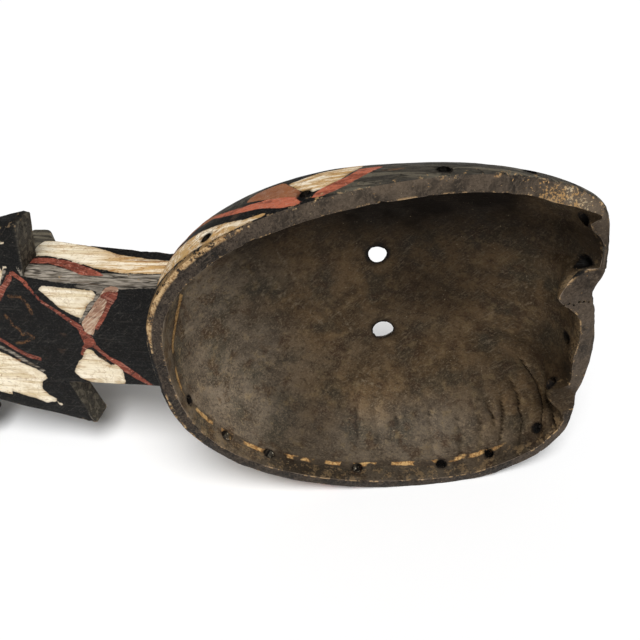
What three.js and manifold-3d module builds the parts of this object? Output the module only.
// Plank mask: one carved piece of wood, lying on its side.
// Millimetres. +X points along the plank to the chin, +Y from the hollow to the face, +Z up.
// The origin is under the middle of the mask, on the surface that it lies on.

import * as THREE from "three";
import { mergeVertices } from "three/addons/utils/BufferGeometryUtils.js";
import Module from "manifold-3d";

const wasm = await Module();
wasm.setup();
const { sin, cos, PI } = Math;

// Bowl of the mask, measured along its rim plane
const rimLength = 289;
const rimHalfWidth = 127.5;
const widestAt = 180;
const neckEndFullness = 2.55;
const chinNarrowing = { upper: 0.285, lower: 0.36 };
const chinBluntness = 34;
const rimTilt = THREE.MathUtils.degToRad(13.5);
const rimSaddle = 0.00073;
const rimFaceWidth = 11;
const rimFaceRise = 2;
const bowlDepth = 74;
const hollowDepth = 62;
const bowlMiddle = 140;

// How squarely the bowl turns from wall to face: 2 is an ellipse, and more is squarer.
// The side that it lies on is the fuller one
const outerRoundness = { neck: 3.25, chin: 1.95, lower: 3.1 };
const hollowRoundness = { neck: 3.0, chin: 2.4, lower: 3.1 };

const neckEndTo = 40;
const chinEndFrom = 235;

// Eye holes, wider on the face side
const eyeSpacing = 68;
const eyeAlong = 155;
const eyeRadiusInside = 7.4;
const eyeRadiusOutside = 16;

// Lacing holes under the rim
const lacingRadius = 3.2;
const lacingDrop = 10;
const lacingAbove = [12, 54, 114, 190, 238, 262];
const lacingBelow = [4, 27, 57, 123, 187, 225, 264];
const lacingChin = [78, 46, -16, -55];

// Neck between bowl and plank
const neckBack = 39;
const neckHalfWidth = 52;
const neckWornArris = 6;
const neckSharpArris = 1.5;
const neckFrontAtPlank = 77;
const neckFrontAtBowl = 66;
const neckEnd = -108;
const neckCornerCut = 8;

// Barbed plank: every barb is one pitch long and stands a little wider than the one before
const plankThickness = 20;
const plankBevel = 2;
const barbCount = 6;
const barbPitch = 96;
const firstBarbTip = -90;
const firstBarbReach = { upper: 92, lower: 98 };
const lastBarbReach = rimHalfWidth;
const barbTaper = 27;
const barbSlant = 11;
const barbBlunt = 3;
const plankUnderNeck = 30;

// Blunt horn on the front of the neck
const hornHalfWidth = 22;
const hornTop = 139;
const hornTopFrom = -154;
const hornTopTo = -137;
const hornFootFrom = -166;
const hornFootTo = -86;
const hornWornArris = 4;

// Wear on the chin, and the flat on which the mask lies
const chinBites = [
  { at: 24, radius: 36, depth: 11.2 },
  { at: 84, radius: 7, depth: 5 },
  { at: -57, radius: 9, depth: 10.5 },
];
const chinWornFrom = -16;
const chinWornTo = -98;
const chinWornAway = 16;
const restingFlat = 3;

// Fineness of the curved surfaces
const stepsAround = 84;
const stepsDeep = 12;
const lacingSides = 8;
const eyeSides = 20;

// Places are worked out in the rim's own plane (along, deep, side) and then tilted with it
function fromRimPlane(along, deep, side) {
  const x = along * cos(rimTilt) - deep * sin(rimTilt);
  const y = along * sin(rimTilt) + deep * cos(rimTilt);
  return new THREE.Vector3(x, y, side);
}

// Half width of the rim: a long egg towards the neck, and a blunt end at the chin, which is
// narrower on the lower side. The hand is 1 for the upper side and -1 for the lower one
function rimHalfWidthAt(along, hand) {
  if (along <= widestAt) {
    const s = (widestAt - along) / widestAt;
    return rimHalfWidth * Math.pow(Math.max(0, 1 - s * s), 1 / neckEndFullness);
  }
  const s = Math.min(1, (along - widestAt) / (rimLength - widestAt));
  const narrowed = hand > 0 ? chinNarrowing.upper : chinNarrowing.lower;
  const narrowing = 1 - narrowed * Math.pow(s, 2.4);
  const bluntEnd = Math.pow(Math.max(0, 1 - Math.pow(s, chinBluntness)), 0.4);
  return rimHalfWidth * narrowing * bluntEnd;
}

// One side of the rim outline as evenly spaced points from the neck to the chin
function outlineSide(hand) {
  const dense = [];
  const samples = 400;
  for (let i = 0; i <= samples; i++) {
    const along = (rimLength * (1 - cos((PI * i) / samples))) / 2;
    dense.push(new THREE.Vector3(along, hand * rimHalfWidthAt(along, hand), 0));
  }
  const curve = new THREE.CatmullRomCurve3(dense);
  curve.arcLengthDivisions = 4 * samples;
  return curve.getSpacedPoints(stepsAround / 2).map((p) => new THREE.Vector2(p.x, p.y));
}

// The whole outline, from the neck round the upper side and back
function rimOutline() {
  return [...outlineSide(1), ...outlineSide(-1).slice(1, -1).reverse()];
}

// The same outline drawn in by a distance at right angles to itself
function drawnIn(outline, distance) {
  return outline.map((point, i) => {
    const before = outline[(i + outline.length - 1) % outline.length];
    const after = outline[(i + 1) % outline.length];
    const run = after.clone().sub(before).normalize();
    return new THREE.Vector2(point.x + run.y * distance, point.y - run.x * distance);
  });
}

// How far the rim at the sides stands back from the rim plane
function saddleAt(side) {
  return -rimSaddle * side * side;
}

// The point of a plain oval in the same direction from the bowl's middle as an outline point
function onOval(point) {
  const turn = Math.atan2(point.y, point.x - bowlMiddle);
  const halfLength = bowlMiddle;
  const size = Math.hypot(cos(turn) / halfLength, sin(turn) / rimHalfWidth);
  return new THREE.Vector2(bowlMiddle + cos(turn) / size, sin(turn) / size);
}

// One ring of the bowl: the outline shrinks to the middle and turns oval while it goes deeper
function bowlRing(outline, turn, depth, roundness, rise) {
  return outline.map((point) => {
    const toChin = THREE.MathUtils.smoothstep(point.x, neckEndTo, chinEndFrom);
    const toLower = THREE.MathUtils.smoothstep(-point.y, 0, rimHalfWidth);
    const side = THREE.MathUtils.lerp(roundness.chin, roundness.lower, toLower);
    const power = THREE.MathUtils.lerp(roundness.neck, side, toChin);
    const shrink = Math.pow(cos(turn), 2 / power);
    const drop = Math.pow(sin(turn), 2 / power);
    const start = saddleAt(point.y) - rise;
    const shaped = point.clone().lerp(onOval(point), 1 - shrink);
    const along = bowlMiddle + (shaped.x - bowlMiddle) * shrink;
    return fromRimPlane(along, start + (depth - start) * drop, shaped.y * shrink);
  });
}

// Closed body through a row of rings, from a point under the first to a point over the last
function bodyThroughRings(rings, firstPoint, lastPoint) {
  const count = rings[0].length;
  const positions = [firstPoint, ...rings.flat(), lastPoint].flatMap((p) => [p.x, p.y, p.z]);
  const index = [];
  const last = 1 + rings.length * count;
  for (let i = 0; i < count; i++) {
    const next = (i + 1) % count;
    index.push(0, 1 + i, 1 + next);
    for (let ring = 0; ring < rings.length - 1; ring++) {
      const low = 1 + ring * count;
      const high = low + count;
      index.push(low + i, high + i, low + next);
      index.push(low + next, high + i, high + next);
    }
    const top = last - count;
    index.push(last, top + next, top + i);
  }
  const geometry = new THREE.BufferGeometry();
  geometry.setAttribute("position", new THREE.Float32BufferAttribute(positions, 3));
  geometry.setIndex(index);
  return geometry;
}

function toSolid(geometry) {
  const bare = geometry.clone();
  bare.deleteAttribute("normal");
  bare.deleteAttribute("uv");
  const merged = mergeVertices(bare, 1e-4);
  const vertProperties = new Float32Array(merged.attributes.position.array);
  const triVerts = new Uint32Array(merged.index.array);
  return new wasm.Manifold(new wasm.Mesh({ numProp: 3, vertProperties, triVerts }));
}

function toGeometry(solid) {
  const mesh = solid.getMesh();
  const geometry = new THREE.BufferGeometry();
  geometry.setAttribute("position", new THREE.BufferAttribute(mesh.vertProperties, 3));
  geometry.setIndex(new THREE.BufferAttribute(mesh.triVerts, 1));
  return geometry;
}

// Turns of the bowl's section, from the front of the face up to the rim
const sectionTurns = Array.from({ length: stepsDeep }, (_, i) => (PI / 2) * (1 - (i + 1) / stepsDeep));

// Outer body of the bowl, with the rim's face and a cap over the hollow
function outerBowl() {
  const outline = rimOutline();
  const rings = sectionTurns.map((turn) => bowlRing(outline, turn, bowlDepth, outerRoundness, 0));
  const capEdge = drawnIn(outline, 2 * rimFaceWidth);
  rings.push(bowlRing(capEdge, 0, 0, outerRoundness, 2 * rimFaceRise));
  const pole = fromRimPlane(bowlMiddle, bowlDepth, 0);
  const cap = fromRimPlane(bowlMiddle, -2 * rimFaceRise, 0);
  return toSolid(bodyThroughRings(rings, pole, cap));
}

// The hollow, carried on past the rim so that it opens it
function hollow() {
  const outline = drawnIn(rimOutline(), rimFaceWidth);
  const rings = sectionTurns.map((turn) => {
    return bowlRing(outline, turn, hollowDepth, hollowRoundness, rimFaceRise);
  });
  const pastRim = 40;
  rings.push(bowlRing(outline, 0, 0, hollowRoundness, pastRim));
  const pole = fromRimPlane(bowlMiddle, hollowDepth, 0);
  const cap = fromRimPlane(bowlMiddle, -pastRim, 0);
  return toSolid(bodyThroughRings(rings, pole, cap));
}

// A round hole or pin between two points
function roundBetween(from, to, radiusFrom, radiusTo, sides) {
  const length = from.distanceTo(to);
  const geometry = new THREE.CylinderGeometry(radiusTo, radiusFrom, length, sides);
  const direction = to.clone().sub(from).normalize();
  const turn = new THREE.Quaternion().setFromUnitVectors(new THREE.Vector3(0, 1, 0), direction);
  geometry.applyQuaternion(turn);
  const middle = from.clone().add(to).multiplyScalar(0.5);
  geometry.translate(middle.x, middle.y, middle.z);
  return toSolid(geometry);
}

function eyeHole(side) {
  const flare = (eyeRadiusOutside - eyeRadiusInside) / (bowlDepth - hollowDepth);
  const past = 8;
  const inside = fromRimPlane(eyeAlong, hollowDepth - past, side);
  const outside = fromRimPlane(eyeAlong, bowlDepth + past, side);
  const narrow = eyeRadiusInside - flare * past;
  return roundBetween(inside, outside, narrow, eyeRadiusOutside + flare * past, eyeSides);
}

// A lacing hole goes through the wall from just inside the rim to just outside
function lacingHole(along, side, outX, outZ) {
  const deep = saddleAt(side) + lacingDrop;
  const reachIn = 30;
  const reachOut = 8;
  const inner = fromRimPlane(along - outX * reachIn, deep, side - outZ * reachIn);
  const outer = fromRimPlane(along + outX * reachOut, deep, side + outZ * reachOut);
  return roundBetween(inner, outer, lacingRadius, lacingRadius, lacingSides);
}

function lacingHoles() {
  const holes = [];
  const beside = (along, hand) => {
    const step = 2;
    const rise = rimHalfWidthAt(along + step, hand) - rimHalfWidthAt(along - step, hand);
    const out = new THREE.Vector2(-rise, 2 * step).normalize();
    holes.push(lacingHole(along, hand * rimHalfWidthAt(along, hand), out.x, hand * out.y));
  };
  lacingAbove.forEach((along) => beside(along, 1));
  lacingBelow.forEach((along) => beside(along, -1));
  lacingChin.forEach((side) => holes.push(lacingHole(rimLength, side, 1, 0)));
  return holes;
}

// Bites out of the chin's worn edge
function chinBite(bite) {
  const along = rimLength + bite.radius - bite.depth;
  const overRim = 20;
  const lean = 6;
  const over = fromRimPlane(along, -overRim, bite.at);
  const under = fromRimPlane(along - lean, bowlDepth / 2, bite.at);
  return roundBetween(over, under, bite.radius, bite.radius / 2, eyeSides);
}

// The chin's lower corner is worn back to a slanting line
function chinWear() {
  const slope = chinWornAway / (chinWornFrom - chinWornTo);
  const reach = rimLength;
  const block = new THREE.BoxGeometry(reach, 2 * reach, 2 * reach);
  block.translate(reach / 2, 0, 0);
  block.rotateY(Math.atan(slope));
  block.rotateZ(rimTilt);
  const edge = fromRimPlane(rimLength, 0, chinWornFrom);
  block.translate(edge.x, edge.y, edge.z);
  return toSolid(block);
}

// A flat outline in X and Z, carried from one depth to another
function slab(outline, fromY, toY, bevel) {
  const shape = new THREE.Shape(outline);
  const geometry = new THREE.ExtrudeGeometry(shape, {
    depth: toY - fromY - 2 * bevel,
    bevelEnabled: bevel > 0,
    bevelThickness: bevel,
    bevelSize: bevel,
    bevelOffset: -bevel,
    bevelSegments: 1,
  });
  geometry.rotateX(PI / 2);
  geometry.translate(0, toY - bevel, 0);
  return toSolid(geometry);
}

// Outline in X and Y, carried from side to side
function crossPiece(outline, halfWidth) {
  const shape = new THREE.Shape(outline);
  const geometry = new THREE.ExtrudeGeometry(shape, { depth: 2 * halfWidth, bevelEnabled: false });
  geometry.translate(0, 0, -halfWidth);
  return toSolid(geometry);
}

// One edge of the plank, barb after barb away from the neck
function barbedEdge(firstReach, hand) {
  const underNeck = neckHalfWidth - neckWornArris;
  const edge = [[neckEnd + plankUnderNeck, underNeck], [firstBarbTip - barbSlant, underNeck]];
  for (let barb = 0; barb < barbCount; barb++) {
    const tip = firstBarbTip - barb * barbPitch;
    const reach = THREE.MathUtils.lerp(firstReach, lastBarbReach, barb / (barbCount - 1));
    edge.push([tip, reach - barbBlunt]);
    edge.push([tip - barbBlunt, reach]);
    const root = tip - barbPitch - (barb < barbCount - 1 ? barbSlant : 0);
    edge.push([root, reach - barbTaper]);
  }
  return edge.map(([x, z]) => new THREE.Vector2(x, hand * z));
}

// Plank outline: along the upper edge, then back along the lower one
function plank() {
  const lower = barbedEdge(firstBarbReach.lower, -1).reverse();
  const outline = [...barbedEdge(firstBarbReach.upper, 1), ...lower];
  return slab(outline, neckBack, neckBack + plankThickness, plankBevel);
}

// Neck: section with one worn arris, cut by its side view, which is thicker towards the plank
function neck() {
  const w = neckHalfWidth;
  const past = 5;
  const front = neckFrontAtPlank + past;
  const section = new THREE.Shape([
    new THREE.Vector2(-w, neckBack + neckWornArris),
    new THREE.Vector2(-w + neckWornArris, neckBack),
    new THREE.Vector2(w - neckSharpArris, neckBack),
    new THREE.Vector2(w, neckBack + neckSharpArris),
    new THREE.Vector2(w, front),
    new THREE.Vector2(-w, front),
  ]);
  const intoBowl = 40;
  const bar = new THREE.ExtrudeGeometry(section, { depth: intoBowl - neckEnd, bevelEnabled: false });
  bar.rotateY(PI / 2);
  bar.translate(neckEnd, 0, 0);
  const sideView = [
    new THREE.Vector2(neckEnd - past, neckBack - past),
    new THREE.Vector2(intoBowl + past, neckBack - past),
    new THREE.Vector2(intoBowl + past, neckFrontAtBowl),
    new THREE.Vector2(0, neckFrontAtBowl),
    new THREE.Vector2(neckEnd + neckCornerCut, neckFrontAtPlank),
    new THREE.Vector2(neckEnd, neckFrontAtPlank - neckCornerCut),
    new THREE.Vector2(neckEnd - past, neckFrontAtPlank - neckCornerCut),
  ];
  return toSolid(bar).intersect(crossPiece(sideView, w + past));
}

// Horn: a blunt wedge that stands forward from the neck
function horn() {
  const root = neckBack + plankThickness / 2;
  return crossPiece([
    new THREE.Vector2(hornFootFrom, root),
    new THREE.Vector2(hornFootTo, root),
    new THREE.Vector2(hornFootTo, neckFrontAtPlank - hornWornArris),
    new THREE.Vector2(hornTopTo, hornTop - hornWornArris),
    new THREE.Vector2(hornTopTo - hornWornArris, hornTop),
    new THREE.Vector2(hornTopFrom + hornWornArris, hornTop),
    new THREE.Vector2(hornTopFrom, hornTop - hornWornArris),
  ], hornHalfWidth);
}

// Everything under the resting flat
function belowFlat() {
  const height = 40;
  const longerThanMask = 3000;
  const block = new THREE.BoxGeometry(longerThanMask, longerThanMask, height);
  block.translate(0, 0, -(rimHalfWidth - restingFlat) - height / 2);
  return toSolid(block);
}

function maskGeometry() {
  let solid = outerBowl().add(neck()).add(plank()).add(horn());
  solid = solid.subtract(hollow());
  solid = solid.subtract(eyeHole(eyeSpacing / 2)).subtract(eyeHole(-eyeSpacing / 2));
  lacingHoles().forEach((hole) => {
    solid = solid.subtract(hole);
  });
  chinBites.forEach((bite) => {
    solid = solid.subtract(chinBite(bite));
  });
  return toGeometry(solid.subtract(chinWear()).subtract(belowFlat()));
}

const paintedWood = new THREE.MeshStandardMaterial({ color: 0x4a4038, roughness: 0.85, metalness: 0 });
const plankMask = new THREE.Mesh(maskGeometry(), paintedWood);
plankMask.name = "plank_mask";

// Stand the origin under the middle of the mask
plankMask.geometry.computeBoundingBox();
const box = plankMask.geometry.boundingBox;
plankMask.position.set(-(box.min.x + box.max.x) / 2, -(box.min.y + box.max.y) / 2, -box.min.z);

const model = new THREE.Group();
model.add(plankMask);
export default model;
